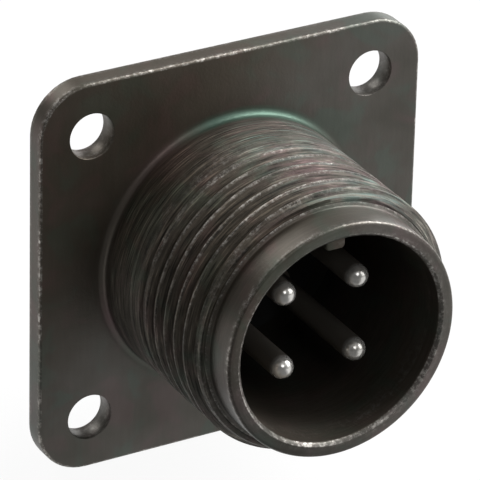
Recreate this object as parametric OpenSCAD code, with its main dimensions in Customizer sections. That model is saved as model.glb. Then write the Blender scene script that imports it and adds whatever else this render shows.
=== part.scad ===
// Square-flange box receptacle of a round threaded connector, shell size 12S,
// with four size 16 pin contacts and solder cups.
// The origin is the centre of the four-hole pattern on the flange's mounting face.
// The threaded barrel points along -Y, the solder cups point along +Y, and the key is at
// the top, +Z. Lengths along the axis are counted from the mounting face, plus to the front.

/* [Flange] */
// Side of the square flange
flange_w = 28.15; // [27.2:0.01:29]
// Thickness of the flange
flange_t = 1.59; // [1.2:0.01:2.2]
// Radius of the flange's four corners, seen from the front
corner_r = 3.5; // [2:0.1:4]
// Radius on the flange's outer edges
edge_r = 0.2; // [0.1:0.05:0.4]
// Distance between neighbouring mounting holes
hole_spacing = 20.65; // [20.3:0.01:21]
// Diameter of a mounting hole
hole_d = 3.18; // [2.8:0.01:3.3]

/* [Threaded barrel] */
// Length of the barrel, from the flange's front face to the rim
barrel_len = 14.6; // [13.6:0.1:17]
// Wall of the plain nose in front of the thread, around the front bore
nose_wall = 1; // [0.85:0.05:1.2]
// Length of the nose, from the end of the thread's bevel to the rim
nose_len = 2.1; // [1.8:0.1:2.5]
// Diameter of the front bore that takes the plug's barrel
bore_d = 14.6; // [14.2:0.05:15]
// Radius on the rim's outer edge
rim_r = 0.2; // [0.1:0.05:0.3]
// Bevel on the rim's inner edge
bore_bevel = 0.15; // [0.1:0.05:0.25]
// Length of the plain neck, from the flange's front face to the first groove
neck_len = 3.1; // [2.6:0.1:3.8]
// Radius of the fillet between the neck and the flange
base_fillet = 0.45; // [0.3:0.05:0.7]

/* [Coupling thread] */
// Outer diameter of the coupling thread
thread_d = 18.88; // [18.8:0.01:19.2]
// Distance from one crest to the next
thread_pitch = 1.27; // [1:0.01:1.5]
// Bevel at the thread's front end
thread_bevel = 0.75; // [0.5:0.05:0.85]

/* [Key] */
// Width of the key along the top of the bore
key_w = 1.4; // [1.1:0.05:1.8]
// Height of the key above the bore's wall
key_h = 1.3; // [1:0.05:1.5]
// Distance of the key's end behind the rim
key_setback = 1.2; // [0.6:0.1:2]
// Radius on the key's two long edges
key_r = 0.3; // [0.2:0.05:0.4]

/* [Rear barrel] */
// Wall of the barrel behind the flange, around the ring's groove
rear_wall = 0.8; // [0.6:0.05:1.1]
// Length of the barrel behind the mounting face
rear_len = 4.4; // [4:0.1:6]
// Diameter of the rear bore that holds the inserts
seat_d = 13.6; // [13.3:0.05:13.9]
// Thickness of the wall between the front bore and the rear bore
web_t = 1.7; // [1.2:0.1:2.2]
// Width of the ledge on that wall's rear side, which the front insert seats on
ledge_w = 0.8; // [0.6:0.05:1]
// Place of the ledge, in front of the mounting face
seat_at = 1.2; // [0.8:0.1:1.6]

/* [Inserts] */
// Thickness of the front insert, behind the wall it seats on
front_insert_t = 2.8; // [2.4:0.1:3.1]
// Thickness of the rear insert
rear_insert_t = 1.7; // [1.4:0.1:2]
// How far the front insert's boss stands out of the wall into the front bore
boss_proud = 0.25; // [0.1:0.05:0.6]
// Width of the rib that stops the inserts turning
rib_w = 1.5; // [1.2:0.1:1.8]
// Height of that rib above the rear bore's wall
rib_h = 0.6; // [0.45:0.05:0.8]

/* [Contacts] */
// Distance between neighbouring contacts
contact_pitch = 5.35; // [5.1:0.05:5.5]
// Diameter of a contact pin
pin_d = 1.59; // [1.5:0.01:1.65]
// Diameter of a contact's stem, inside the front insert
stem_d = 2.1; // [2:0.05:2.3]
// Distance of the pin tips behind the rim
pin_setback = 2.2; // [1.8:0.1:3.2]
// Diameter of the collar that the inserts hold between them
collar_d = 2.5; // [2.35:0.05:2.7]
// Length of the collar
collar_len = 1.4; // [1:0.1:1.6]
// Diameter of the shank that passes through the rear insert
shank_d = 2.1; // [1.95:0.05:2.2]
// Outer diameter of a solder cup
cup_d = 2.4; // [2.3:0.05:2.7]
// Inner diameter of a solder cup
cup_bore_d = 1.7; // [1.5:0.05:1.8]
// Length of a solder cup behind the rear insert
cup_len = 4.4; // [4:0.1:5]
// Depth of a solder cup's hole
cup_depth = 3.4; // [2.8:0.1:3.7]
// Length of the open side of a solder cup
cup_mouth = 2; // [1.6:0.1:2.4]

/* [Retaining ring] */
// Width of the ring from its inner to its outer edge
ring_w = 0.95; // [0.8:0.05:1.1]
// Thickness of the ring along the axis
ring_t = 0.6; // [0.5:0.05:0.7]
// Depth of the ring's groove in the rear bore
ring_groove = 0.35; // [0.25:0.05:0.45]
// Gap between the ring's two ends, in degrees
ring_gap = 46; // [36:1:60]

/* [Clearances] */
// Radial clearance of the inserts in the rear bore
insert_fit = 0.1; // [0.05:0.01:0.15]
// Radial clearance of a contact in its holes
contact_fit = 0.04; // [0.02:0.01:0.06]
// Play along the axis of the collars and of the ring
end_play = 0.03; // [0.02:0.01:0.05]

/* [Hidden] */

$fn = 96;
cut = 0.5; // how far a cutting shape runs past the face it opens

thread_r = thread_d / 2;
bore_r = bore_d / 2;
nose_r = bore_r + nose_wall;
neck_step = 0.05;                  // how far the crests stand above the neck
neck_r = thread_r - neck_step;
front = flange_t;                  // the flange's front face
rim = front + barrel_len;          // the barrel's front end
shoulder = rim - nose_len;         // the wall where the thread ends

// 60 degree thread, flat at its crests and roots, with a depth of 0.6134 pitch
crest_flat = thread_pitch / 8;
thread_depth = 0.6134 * thread_pitch;
last_crest = shoulder - thread_bevel - crest_flat / 2;
groove_count = floor((last_crest - front - neck_len) / thread_pitch);
run_out = [0.22, 0.45, 0.85];      // share of full depth of the grooves next to the neck

web_front = seat_at + web_t;
seat_r = seat_d / 2;
insert_r = seat_r - insert_fit;
insert_joint = seat_at - front_insert_t;      // where the two inserts meet
insert_rear = insert_joint - rear_insert_t;
ring_front = insert_rear;
groove_r = seat_r + ring_groove;
ring_outer_r = groove_r - insert_fit;
rear_r = groove_r + rear_wall;
web_hole_r = seat_r - ledge_w;
boss_r = web_hole_r - insert_fit;
boss_face = web_front + boss_proud;
pin_tip = rim - pin_setback;
cup_end = insert_rear - cup_len;

// Turns the axis of what is drawn along +Z to the front, -Y, and its +Y to the top
module facing_front() rotate([90, 0, 0]) children();

module at_height(z) translate([0, 0, z]) children();

// One copy at each mounting hole
module at_holes() {
    for (x = [-1, 1], y = [-1, 1])
        translate([x, y, 0] * hole_spacing / 2) children();
}

// Place of contact 1 to 4, counted clockwise from the top left, seen from the front
contact_places = [for (p = [[-1, 1], [1, 1], [1, -1], [-1, -1]]) p * contact_pitch / 2];

module at_contacts() {
    for (p = contact_places)
        translate([p[0], p[1], 0]) children();
}

// Half of a plate's section, from its axis out, with both outer corners rounded
module rounded_edge(half, thick, r) {
    square([half - r, thick]);
    translate([0, r]) square([half, thick - 2 * r]);
    for (y = [r, thick - r])
        translate([half - r, y]) circle(r, $fn = 32);
}

// Flange plate: two crossing bars and four round corners share one edge form
module flange_plate() {
    straight = flange_w / 2 - corner_r;
    for (turn = [0 : 90 : 270])
        rotate(turn) {
            translate([straight, 0, 0])
                rotate([90, 0, 0])
                linear_extrude(2 * straight, center = true)
                rounded_edge(corner_r, flange_t, edge_r);
            translate([straight, straight, 0])
                rotate_extrude()
                rounded_edge(corner_r, flange_t, edge_r);
        }
    linear_extrude(flange_t) square(2 * straight, center = true);
}

// Outline of one groove, drawn outward from the thread's core
module groove_outline(depth) {
    half_root = crest_flat * 4 - crest_flat / 2 - thread_depth * tan(30);
    half_mouth = half_root + depth * tan(30);
    polygon([
        [thread_r - depth, -half_root],
        [thread_r - depth, half_root],
        [thread_r, half_mouth],
        [thread_r + cut, half_mouth],
        [thread_r + cut, -half_mouth],
        [thread_r, -half_mouth]
    ]);
}

// Threaded stretch with its bevelled front end; the fine thread is drawn as rings
module thread_outline() {
    difference() {
        polygon([
            [0, front],
            [neck_r, front],
            [neck_r, front + neck_len],
            [thread_r, front + neck_len],
            [thread_r, shoulder - thread_bevel],
            [thread_r - thread_bevel, shoulder],
            [0, shoulder]
        ]);
        for (k = [0 : groove_count - 1]) {
            from_neck = groove_count - 1 - k;
            share = from_neck < len(run_out) ? run_out[from_neck] : 1;
            translate([0, last_crest - (k + 0.5) * thread_pitch])
                groove_outline(share * thread_depth);
        }
    }
}

// Plain nose, with a rounded rim and a slope that carries on the thread's bevel
module nose_outline() {
    slope = max(0.1, thread_r - thread_bevel - nose_r);
    translate([0, shoulder - cut])
        square([nose_r, nose_len + cut - rim_r]);
    translate([0, shoulder - cut])
        square([nose_r - rim_r, nose_len + cut]);
    translate([nose_r - rim_r, rim - rim_r]) circle(rim_r, $fn = 32);
    polygon([
        [0, shoulder],
        [nose_r + slope, shoulder],
        [nose_r, shoulder + slope],
        [0, shoulder + slope]
    ]);
}

// Concave fillet between the neck and the flange's front face
module base_fillet_outline() {
    difference() {
        translate([neck_r - cut, front]) square([base_fillet + cut, base_fillet]);
        translate([neck_r + base_fillet, front + base_fillet]) circle(base_fillet);
    }
}

// Rear barrel behind the flange, with a bevelled end
module rear_outline() {
    bevel = 0.3;
    polygon([
        [0, flange_t / 2],
        [rear_r, flange_t / 2],
        [rear_r, bevel - rear_len],
        [rear_r - bevel, -rear_len],
        [0, -rear_len]
    ]);
}

// Front bore, opening in the wall, seat for the inserts and ring groove
module bore_outline() {
    translate([0, web_front]) square([bore_r, rim - web_front + cut]);
    polygon([
        [0, rim - bore_bevel],
        [bore_r, rim - bore_bevel],
        [bore_r + bore_bevel, rim],
        [bore_r + bore_bevel, rim + cut],
        [0, rim + cut]
    ]);
    translate([0, -rear_len - cut])
        square([web_hole_r, web_front + rear_len + 2 * cut]);
    translate([0, -rear_len - cut])
        square([seat_r, seat_at + rear_len + cut]);
    translate([0, ring_front - ring_t - end_play])
        square([groove_r, ring_t + end_play]);
}

// A rib's section, standing down from the wall of a bore of radius r
module rib_outline(r, wide, high, round) {
    bottom = r - high;
    translate([-wide / 2, bottom + round]) square([wide, high]);
    translate([round - wide / 2, bottom]) square([wide - 2 * round, high]);
    for (side = [-1, 1])
        translate([side * (wide / 2 - round), bottom + round]) circle(round, $fn = 32);
}

// Key in the front bore and turning stop in the rear bore, both at the top
module ribs() {
    overlap = 0.2; // how deep a rib is rooted in the bore's wall
    intersection() {
        at_height(web_front - overlap)
            linear_extrude(rim - key_setback - web_front + overlap)
            rib_outline(bore_r, key_w, key_h, key_r);
        at_height(web_front - overlap) cylinder(barrel_len, r = bore_r + overlap);
    }
    intersection() {
        at_height(insert_rear)
            linear_extrude(seat_at + overlap - insert_rear)
            rib_outline(seat_r, rib_w, rib_h, key_r / 2);
        at_height(-rear_len) cylinder(barrel_len, r = seat_r + overlap);
    }
}

// One-piece cast shell: flange, threaded barrel, nose, key and rear barrel
module shell() {
    color("#6e6a60") facing_front() {
        difference() {
            union() {
                flange_plate();
                rotate_extrude() thread_outline();
                rotate_extrude() nose_outline();
                rotate_extrude() base_fillet_outline();
                rotate_extrude() rear_outline();
            }
            rotate_extrude() bore_outline();
            at_holes() at_height(-cut) cylinder(flange_t + 2 * cut, d = hole_d);
        }
        ribs();
    }
}

// Slot in an insert that runs over the turning stop
module rib_slot() {
    at_height(insert_rear - cut)
        linear_extrude(seat_at - insert_rear + 2 * cut)
        rib_outline(seat_r, rib_w + 2 * insert_fit, rib_h + insert_fit, key_r / 2);
}

// Hollow for the collars, shared out evenly between the two inserts
module collar_pockets() {
    at_contacts()
        at_height(insert_joint - collar_len / 2 - end_play)
        cylinder(collar_len + 2 * end_play, r = collar_d / 2 + contact_fit);
}

// Front insert: a disc behind the wall and a boss through it
module front_insert() {
    color("#1d1d1f") facing_front() difference() {
        union() {
            at_height(insert_joint) cylinder(front_insert_t, r = insert_r);
            at_height(insert_joint)
                cylinder(boss_face - insert_joint, r = boss_r);
        }
        rib_slot();
        collar_pockets();
        at_contacts()
            at_height(insert_joint - cut)
            cylinder(rim, r = stem_d / 2 + contact_fit);
    }
}

// Rear insert: a disc that closes the collar pockets
module rear_insert() {
    color("#242326") facing_front() difference() {
        at_height(insert_rear) cylinder(rear_insert_t, r = insert_r);
        rib_slot();
        collar_pockets();
        at_contacts()
            at_height(insert_rear - cut)
            cylinder(rear_insert_t + 2 * cut, r = shank_d / 2 + contact_fit);
    }
}

// Retaining ring: an open spring ring in the groove behind the rear insert
module retaining_ring() {
    color("#9a9b9d") facing_front()
        at_height(ring_front - ring_t)
        rotate(90 + ring_gap / 2)
        rotate_extrude(angle = 360 - ring_gap)
        translate([ring_outer_r - ring_w, 0]) square([ring_w, ring_t]);
}

// Half outline of a contact: pin with a ball end, stem, collar, shank and solder cup
module contact_outline() {
    pin_r = pin_d / 2;
    collar_front = insert_joint + collar_len / 2;
    collar_rear = insert_joint - collar_len / 2;
    translate([0, collar_rear]) square([pin_r, pin_tip - pin_r - collar_rear]);
    intersection() {
        translate([0, pin_tip - pin_r]) circle(pin_r, $fn = 48);
        translate([0, collar_rear]) square([pin_r, pin_tip - collar_rear]);
    }
    translate([0, collar_rear]) square([stem_d / 2, boss_face - collar_rear]);
    translate([0, collar_rear]) square([collar_d / 2, collar_front - collar_rear]);
    translate([0, cup_end + cup_depth])
        square([shank_d / 2, collar_front - cup_end - cup_depth]);
    translate([0, cup_end]) square([cup_d / 2, insert_rear - end_play - cup_end]);
}

// A contact at place p; the open side of its cup faces away from the middle
module contact(p) {
    away = p[0] > 0 ? 0 : 180;
    color("#c9c8c4") facing_front()
        translate([p[0], p[1], 0])
        difference() {
            rotate_extrude() contact_outline();
            at_height(cup_end - cut) cylinder(cup_depth + cut, d = cup_bore_d);
            rotate(away) at_height(cup_end) cup_opening();
        }
}

// The scooped opening on one side of a solder cup
module cup_opening() {
    lip = cup_d / 10;
    scoop_r = cup_d / 2;
    translate([lip, -cup_d, -cut]) cube([cup_d, 2 * cup_d, cup_mouth - scoop_r + cut]);
    translate([lip + scoop_r, cup_d, cup_mouth - scoop_r])
        rotate([90, 0, 0])
        cylinder(2 * cup_d, r = scoop_r);
}

shell();
front_insert();
rear_insert();
retaining_ring();
contact(contact_places[0]);  // contact_1
contact(contact_places[1]);  // contact_2
contact(contact_places[2]);  // contact_3
contact(contact_places[3]);  // contact_4
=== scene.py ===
import math
import bpy
import bmesh
from mathutils import Matrix, Vector
from mathutils.geometry import delaunay_2d_cdt


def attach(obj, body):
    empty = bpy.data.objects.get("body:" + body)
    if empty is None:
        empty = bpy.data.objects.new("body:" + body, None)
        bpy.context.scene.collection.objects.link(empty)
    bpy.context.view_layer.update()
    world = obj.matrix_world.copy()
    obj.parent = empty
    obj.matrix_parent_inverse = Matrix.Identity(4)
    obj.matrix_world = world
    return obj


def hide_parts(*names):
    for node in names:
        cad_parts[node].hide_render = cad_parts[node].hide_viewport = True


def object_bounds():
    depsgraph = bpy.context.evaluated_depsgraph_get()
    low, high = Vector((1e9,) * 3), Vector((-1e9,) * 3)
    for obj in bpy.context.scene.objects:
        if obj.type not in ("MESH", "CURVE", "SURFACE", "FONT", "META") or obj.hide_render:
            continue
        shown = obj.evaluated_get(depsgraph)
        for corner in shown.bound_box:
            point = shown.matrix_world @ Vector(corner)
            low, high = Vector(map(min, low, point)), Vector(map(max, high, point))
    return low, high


# The connector stands on the lower edge of its flange and its threaded barrel points to -Y.
# The pieces' dictionaries are in millimetres. "forward" is a distance in front of the
# flange's mounting face, so forward = -y, and angles run from +X over the top.

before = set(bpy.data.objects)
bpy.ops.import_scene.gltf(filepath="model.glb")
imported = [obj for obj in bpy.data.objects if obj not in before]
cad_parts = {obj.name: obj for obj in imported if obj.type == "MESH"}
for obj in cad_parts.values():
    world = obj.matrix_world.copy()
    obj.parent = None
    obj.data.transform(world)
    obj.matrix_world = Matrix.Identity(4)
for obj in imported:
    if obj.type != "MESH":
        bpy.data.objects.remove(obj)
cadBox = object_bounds()
mm = 0.001
print("frame loaded:", ", ".join(sorted(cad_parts)))


def linearColour(hexText):
    channels = [int(hexText[i:i + 2], 16) / 255 for i in (1, 3, 5)]
    return tuple(c / 12.92 if c <= 0.04045 else ((c + 0.055) / 1.055) ** 2.4
                 for c in channels) + (1.0,)


def addNode(tree, kind, inputs=None, **settings):
    node = tree.nodes.new(kind)
    for name, value in settings.items():
        setattr(node, name, value)
    for key, value in (inputs or {}).items():
        if isinstance(value, bpy.types.Node):
            value = value.outputs[0]
        if isinstance(value, bpy.types.NodeSocket):
            tree.links.new(value, node.inputs[key])
        else:
            node.inputs[key].default_value = value
    return node


def newMaterial(name):
    material = bpy.data.materials.new(name)
    material.use_nodes = True
    material.node_tree.nodes.clear()
    return material, material.node_tree


def setStops(ramp, stops):
    elements = ramp.color_ramp.elements
    while len(elements) > 1:
        elements.remove(elements[-1])
    for i, (place, colour) in enumerate(stops):
        element = elements[0] if i == 0 else elements.new(place)
        element.position = place
        element.color = colour if isinstance(colour, tuple) else linearColour(colour)


# Object coordinates in millimetres, for patterns of a real size.
def millimetrePlace(tree):
    coordinates = addNode(tree, "ShaderNodeTexCoord")
    return addNode(tree, "ShaderNodeVectorMath", {0: coordinates.outputs["Object"],
                                                  "Scale": 1 / mm}, operation="SCALE")


# Materials

# Borders of the plating's zones, as a Map Range node takes them: none of the zone at 1, all
# of it at 2
platingZones = {
    "bore": {1: 7.36, 2: 7.28},         # by radius
    "outside": {1: 8.0, 2: 8.2},
    "nearNeck": {1: 10.1, 2: 9.65},
    "flangeFront": {1: 1.45, 2: 1.58},  # by forward distance
    "fillet": {1: 2.3, 2: 1.95},
    "barrel": {1: 1.6, 2: 1.9},
    "boreStart": {1: 2.0, 2: 2.4},
    "pastNeck": {1: 2.0, 2: 2.8},
    "beforeNose": {1: 13.8, 2: 13.68},
    "nose": {1: 13.9, 2: 14.0},
    "upperLeft": {1: 4.0, 2: 13.0},     # by height less distance to the right
}


# Die-cast and turned aluminium, plated and chromated olive grey: a semi-matt, brownish
# dark metal with a thin rainbow film, bright where edges and crests are rubbed bare.
def makePlating():
    material, tree = newMaterial("chromatedCastAluminium")
    place = millimetrePlace(tree)
    axes = addNode(tree, "ShaderNodeSeparateXYZ", {0: place})
    forward = addNode(tree, "ShaderNodeMath", {0: axes.outputs[1], 1: -1.0}, operation="MULTIPLY")
    angle = addNode(tree, "ShaderNodeMath", {0: axes.outputs[2], 1: axes.outputs[0]},
                    operation="ARCTAN2")
    squareX = addNode(tree, "ShaderNodeMath", {0: axes.outputs[0], 1: 2.0}, operation="POWER")
    squareZ = addNode(tree, "ShaderNodeMath", {0: axes.outputs[2], 1: 2.0}, operation="POWER")
    squares = addNode(tree, "ShaderNodeMath", {0: squareX, 1: squareZ}, operation="ADD")
    radius = addNode(tree, "ShaderNodeMath", {0: squares}, operation="SQRT")

    # broad tone of the plating, patches of about 5 mm
    tone = addNode(tree, "ShaderNodeTexNoise", {"Vector": place, "Scale": 0.2, "Detail": 3.0,
                                                "Roughness": 0.55})
    toneRamp = addNode(tree, "ShaderNodeValToRGB", {0: tone.outputs[0]})
    setStops(toneRamp, [(0.3, "#4a4842"), (0.5, "#56534e"), (0.7, "#5f5c58")])

    # rainbow film of the chromate, patches of about 3 mm, green to pink
    film = addNode(tree, "ShaderNodeTexNoise", {"Vector": place, "Scale": 0.33, "Detail": 2.0,
                                                "Distortion": 0.6})
    filmRamp = addNode(tree, "ShaderNodeValToRGB", {0: film.outputs[0]})
    setStops(filmRamp, [(0.36, "#4c6459"), (0.46, "#57534c"), (0.55, "#57534c"),
                        (0.66, "#6d5557")])
    varied = addNode(tree, "ShaderNodeMix", {0: 0.26, 6: toneRamp, 7: filmRamp}, data_type="RGBA")
    # painted shade: the colour is darkened and browned at the upper left, where the light falls
    # weakest, and inside the bore
    across = addNode(tree, "ShaderNodeMath", {0: axes.outputs[2], 1: axes.outputs[0]},
                     operation="SUBTRACT")
    upperLeft = addNode(tree, "ShaderNodeMapRange", {0: across, **platingZones["upperLeft"]})
    inBore = addNode(tree, "ShaderNodeMapRange", {0: radius, **platingZones["bore"]})
    ahead = addNode(tree, "ShaderNodeMapRange", {0: forward, **platingZones["boreStart"]})
    boreDullAndShaded = addNode(tree, "ShaderNodeMath", {0: inBore, 1: ahead}, operation="MULTIPLY")
    paintedShade = addNode(tree, "ShaderNodeMath", {0: upperLeft, 1: boreDullAndShaded}, operation="MAXIMUM")
    mottledAndShaded = addNode(tree, "ShaderNodeMix", {0: paintedShade, 6: varied.outputs[2],
                                              7: (0.84, 0.755, 0.66, 1.0)},
                      data_type="RGBA", blend_type="MULTIPLY")

    # the barrel outside, from the neck to the end of the thread, carries the tool's marks
    pastNeck = addNode(tree, "ShaderNodeMapRange", {0: forward, **platingZones["pastNeck"]})
    beforeNose = addNode(tree, "ShaderNodeMapRange", {0: forward, **platingZones["beforeNose"]})
    outside = addNode(tree, "ShaderNodeMapRange", {0: radius, **platingZones["outside"]})
    cutLength = addNode(tree, "ShaderNodeMath", {0: pastNeck, 1: beforeNose},
                        operation="MULTIPLY")
    machined = addNode(tree, "ShaderNodeMath", {0: cutLength, 1: outside}, operation="MULTIPLY")

    # the film is thickest in the fillet at the flange, mint green at its top, then pink; the
    # lighter green at the top is also a painted highlight where the light from above catches the
    # fillet
    turnShare = addNode(tree, "ShaderNodeMapRange", {0: angle, 1: -math.pi, 2: math.pi})
    filletFilmAndHighlight = addNode(tree, "ShaderNodeValToRGB", {0: turnShare})
    setStops(filletFilmAndHighlight, [(0.0, "#5b554d"), (0.055, "#584848"), (0.11, "#464941"), (0.2, "#48443e"),
                        (0.6, "#51514a"), (0.67, "#4d6357"), (0.71, "#4e675a"), (0.78, "#4d6156"),
                        (0.81, "#595950"), (0.835, "#60514d"), (0.87, "#564b46"),
                        (0.91, "#5b544c"), (0.95, "#5b554d")])
    inFillet = addNode(tree, "ShaderNodeMapRange", {0: forward, **platingZones["fillet"]})
    onFront = addNode(tree, "ShaderNodeMapRange", {0: forward, **platingZones["flangeFront"]})
    nearNeck = addNode(tree, "ShaderNodeMapRange", {0: radius, **platingZones["nearNeck"]})
    inFront = addNode(tree, "ShaderNodeMath", {0: inFillet, 1: onFront}, operation="MULTIPLY")
    ringShare = addNode(tree, "ShaderNodeMath", {0: inFront, 1: nearNeck}, operation="MULTIPLY")
    filmedAndHighlit = addNode(tree, "ShaderNodeMix", {0: ringShare, 6: mottledAndShaded.outputs[2], 7: filletFilmAndHighlight},
                     data_type="RGBA")

    # turned marks: fine rings around the axis, about 0.2 mm apart, each a few mm long
    cosine = addNode(tree, "ShaderNodeMath", {0: angle}, operation="COSINE")
    sine = addNode(tree, "ShaderNodeMath", {0: angle}, operation="SINE")
    turnedPlace = addNode(tree, "ShaderNodeCombineXYZ", {0: cosine, 1: sine, 2: forward})
    turnedScaled = addNode(tree, "ShaderNodeVectorMath", {0: turnedPlace, 1: (4.0, 4.0, 5.5)},
                           operation="MULTIPLY")
    inwards = addNode(tree, "ShaderNodeMath", {0: radius, 1: 3.0}, operation="MULTIPLY")
    turned = addNode(tree, "ShaderNodeTexNoise", {"Vector": turnedScaled, "W": inwards,
                                                  "Scale": 1.0, "Detail": 4.0,
                                                  "Roughness": 0.6}, noise_dimensions="4D")
    # cast skin of the flange: faint upright streaks and a 0.2 mm grain
    castPlace = addNode(tree, "ShaderNodeVectorMath", {0: place, 1: (3.2, 3.2, 0.4)},
                        operation="MULTIPLY")
    cast = addNode(tree, "ShaderNodeTexNoise", {"Vector": castPlace, "Scale": 1.0, "Detail": 3.0})
    castSoft = addNode(tree, "ShaderNodeMapRange", {0: cast.outputs[0], 3: 0.38, 4: 0.62})
    onBarrel = addNode(tree, "ShaderNodeMapRange", {0: forward, **platingZones["barrel"]})
    marks = addNode(tree, "ShaderNodeMix", {0: onBarrel, 2: castSoft, 3: turned.outputs[0]})
    faint = addNode(tree, "ShaderNodeMapRange", {0: marks, 1: 0.3, 2: 0.7, 3: 0.95, 4: 1.35})
    strong = addNode(tree, "ShaderNodeMapRange", {0: marks, 1: 0.36, 2: 0.64, 3: 0.8, 4: 1.8})
    # sharp scratches along the marks, dark and bare, 0.1 mm wide and 1 to 3 mm long
    scratchPlace = addNode(tree, "ShaderNodeVectorMath", {0: turnedPlace, 1: (4.0, 4.0, 11.0)},
                           operation="MULTIPLY")
    deeper = addNode(tree, "ShaderNodeMath", {0: radius, 1: 8.0}, operation="MULTIPLY")
    scratches = addNode(tree, "ShaderNodeTexNoise", {"Vector": scratchPlace, "W": deeper,
                                                     "Scale": 1.0, "Detail": 2.0},
                        noise_dimensions="4D")
    light = addNode(tree, "ShaderNodeMapRange", {0: scratches.outputs[0], 1: 0.57, 2: 0.66,
                                                 3: 1.0, 4: 2.2})
    dark = addNode(tree, "ShaderNodeMapRange", {0: scratches.outputs[0], 1: 0.36, 2: 0.44,
                                                3: 0.4, 4: 1.0})
    scratched = addNode(tree, "ShaderNodeMath", {0: light, 1: dark}, operation="MULTIPLY")
    strongest = addNode(tree, "ShaderNodeMath", {0: strong, 1: scratched}, operation="MULTIPLY")
    marksShade = addNode(tree, "ShaderNodeMix", {0: machined, 2: faint, 3: strongest})
    # streaks of the film follow the marks at the upper right of the thread
    offRight = addNode(tree, "ShaderNodeMath", {0: angle, 1: math.radians(72)},
                       operation="SUBTRACT")
    towardsRight = addNode(tree, "ShaderNodeMath", {0: offRight}, operation="COSINE")
    upperRight = addNode(tree, "ShaderNodeMapRange", {0: towardsRight, 1: 0.8, 2: 0.95,
                                                      3: 0.0, 4: 0.16})
    streakShare = addNode(tree, "ShaderNodeMath", {0: upperRight, 1: machined},
                          operation="MULTIPLY")
    streakPlace = addNode(tree, "ShaderNodeVectorMath", {0: turnedPlace, 1: (2.6, 2.6, 7.0)},
                          operation="MULTIPLY")
    streaks = addNode(tree, "ShaderNodeTexNoise", {"Vector": streakPlace, "Scale": 1.0,
                                                   "Detail": 2.0})
    streakRamp = addNode(tree, "ShaderNodeValToRGB", {0: streaks.outputs[0]})
    setStops(streakRamp, [(0.38, "#5c8583"), (0.47, "#67635c"), (0.54, "#6b635d"),
                          (0.64, "#86606a")])
    streaked = addNode(tree, "ShaderNodeMix", {0: streakShare, 6: filmedAndHighlit.outputs[2],
                                               7: streakRamp}, data_type="RGBA")
    # painted shade: the colour darkens towards the bottom of the bore
    depth = addNode(tree, "ShaderNodeMapRange", {0: forward, 1: 4.0, 2: 14.5, 3: 0.2, 4: 1.1})
    inside = addNode(tree, "ShaderNodeMix", {0: boreDullAndShaded, 2: 1.0, 3: depth})
    strength = addNode(tree, "ShaderNodeMath", {0: marksShade, 1: inside}, operation="MULTIPLY")
    shaded = addNode(tree, "ShaderNodeVectorMath", {0: streaked.outputs[2], 3: strength},
                     operation="SCALE")

    # rubbed edges and painted highlights: the wear-and-highlight attribute lightens edges, crests,
    # bevels and hole walls towards bare metal, broken up by a 0.3 mm noise and by the film's
    # patches
    wear = addNode(tree, "ShaderNodeAttribute", attribute_name="wear")
    rub = addNode(tree, "ShaderNodeTexNoise", {"Vector": place, "Scale": 3.2, "Detail": 5.0,
                                               "Roughness": 0.75})
    patches = addNode(tree, "ShaderNodeMapRange", {0: rub.outputs[0], 1: 0.45, 2: 0.66,
                                                   3: 0.08, 4: 1.0},
                      interpolation_type="SMOOTHSTEP")
    uneven = addNode(tree, "ShaderNodeMapRange", {0: film.outputs[0], 1: 0.38, 2: 0.62,
                                                  3: 0.35, 4: 1.15})
    spread = addNode(tree, "ShaderNodeMath", {0: patches, 1: uneven}, operation="MULTIPLY")
    bareAndHighlight = addNode(tree, "ShaderNodeMath", {0: spread, 1: wear.outputs["Fac"]},
                   operation="MULTIPLY", use_clamp=True)
    colour = addNode(tree, "ShaderNodeMix", {0: bareAndHighlight, 6: shaded, 7: linearColour("#c9c5be")},
                     data_type="RGBA")

    # inside the bore the coat is thick and dull
    metal = addNode(tree, "ShaderNodeMapRange", {0: bareAndHighlight, 3: 0.55, 4: 1.0})
    sheen = addNode(tree, "ShaderNodeMapRange", {0: marks, 1: 0.3, 2: 0.7, 3: 0.36, 4: 0.46})
    matt = addNode(tree, "ShaderNodeMapRange", {0: marks, 1: 0.3, 2: 0.7, 3: 0.52, 4: 0.66})
    barrelGloss = addNode(tree, "ShaderNodeMix", {0: machined, 2: sheen, 3: matt})
    onNose = addNode(tree, "ShaderNodeMapRange", {0: forward, **platingZones["nose"]})
    smooth = addNode(tree, "ShaderNodeMix", {0: onNose, 2: barrelGloss, 3: 0.38})
    gloss = addNode(tree, "ShaderNodeMix", {0: boreDullAndShaded, 2: smooth, 3: 0.6})
    grain = addNode(tree, "ShaderNodeTexNoise", {"Vector": place, "Scale": 5.0, "Detail": 2.0})
    relief = addNode(tree, "ShaderNodeMath", {0: marks, 1: grain.outputs[0]}, operation="ADD")
    deep = addNode(tree, "ShaderNodeMapRange", {0: machined, 3: 0.3, 4: 0.8})
    bump = addNode(tree, "ShaderNodeBump", {"Strength": deep, "Distance": 0.00003,
                                            "Height": relief})
    shader = addNode(tree, "ShaderNodeBsdfPrincipled", {
        "Base Color": colour.outputs[2], "Metallic": metal, "Roughness": gloss, "Normal": bump})
    addNode(tree, "ShaderNodeOutputMaterial", {"Surface": shader})
    return material
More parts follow.
